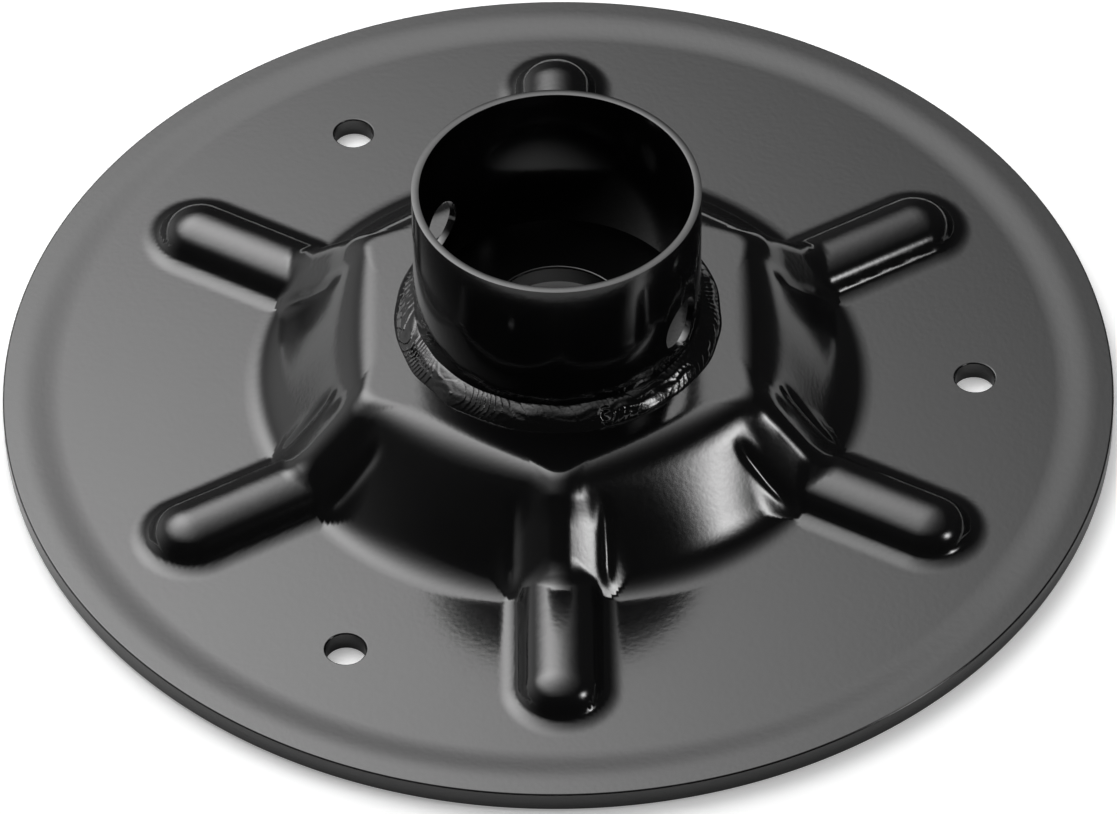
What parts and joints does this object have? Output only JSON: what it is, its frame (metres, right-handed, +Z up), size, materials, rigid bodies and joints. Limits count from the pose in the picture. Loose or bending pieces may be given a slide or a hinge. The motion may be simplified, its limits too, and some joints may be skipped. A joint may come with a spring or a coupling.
{
  "type": "jack foot pad",
  "caption": "Round pressed-steel jack foot pad with radial ribs, anchor holes and a welded socket tube with a cross pin hole.",
  "frame": {"origin": "centre of the flat underside that stands on the ground, on the axis of the socket tube", "axes": "+Z up along the axis of the socket tube; +X through one of the anchor holes; the pin hole's axis lies 30 degrees clockwise of +X seen from above"},
  "size_m": [0.248, 0.248, 0.0644],
  "materials": {
    "plate_paint": "gloss",
    "tube_paint": "gloss",
    "weld_paint": "gloss"
  },
  "bodies": {
    "root": {"foot_plate": "plate_paint", "socket_tube": "tube_paint", "weld_bead": "weld_paint"}
  },
  "joints": []
}
